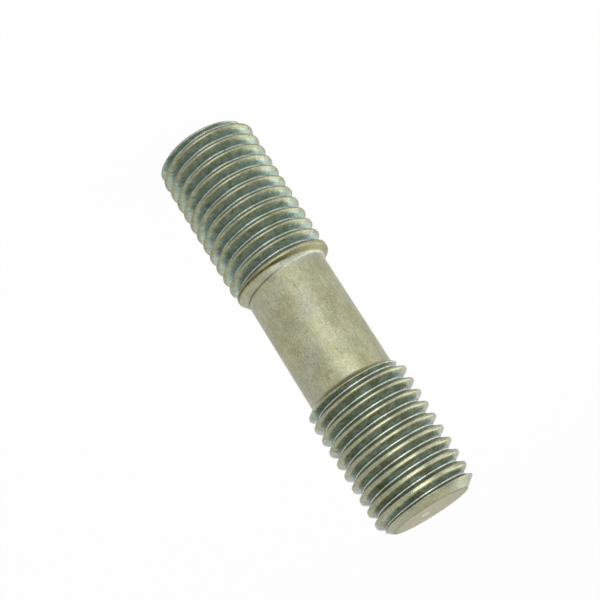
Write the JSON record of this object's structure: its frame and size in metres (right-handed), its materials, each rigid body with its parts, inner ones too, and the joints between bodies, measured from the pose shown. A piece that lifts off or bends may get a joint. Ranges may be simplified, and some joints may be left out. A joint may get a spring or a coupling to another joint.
{
  "type": "double ended stud",
  "caption": "Plated steel double ended stud: a coarse metric thread on each end of a waisted plain shank, with chamfered flat ends.",
  "frame": {"origin": "middle of the foot face, on the thread axis", "axes": "+Z along the stud's axis, from the foot end with the longer thread to the top end; X and Y across it"},
  "size_m": [0.016, 0.016, 0.065],
  "materials": {
    "plated_steel": "satin zinc plating with a greenish yellow passivate"
  },
  "bodies": {
    "root": {"stud": "plated_steel"}
  },
  "joints": []
}
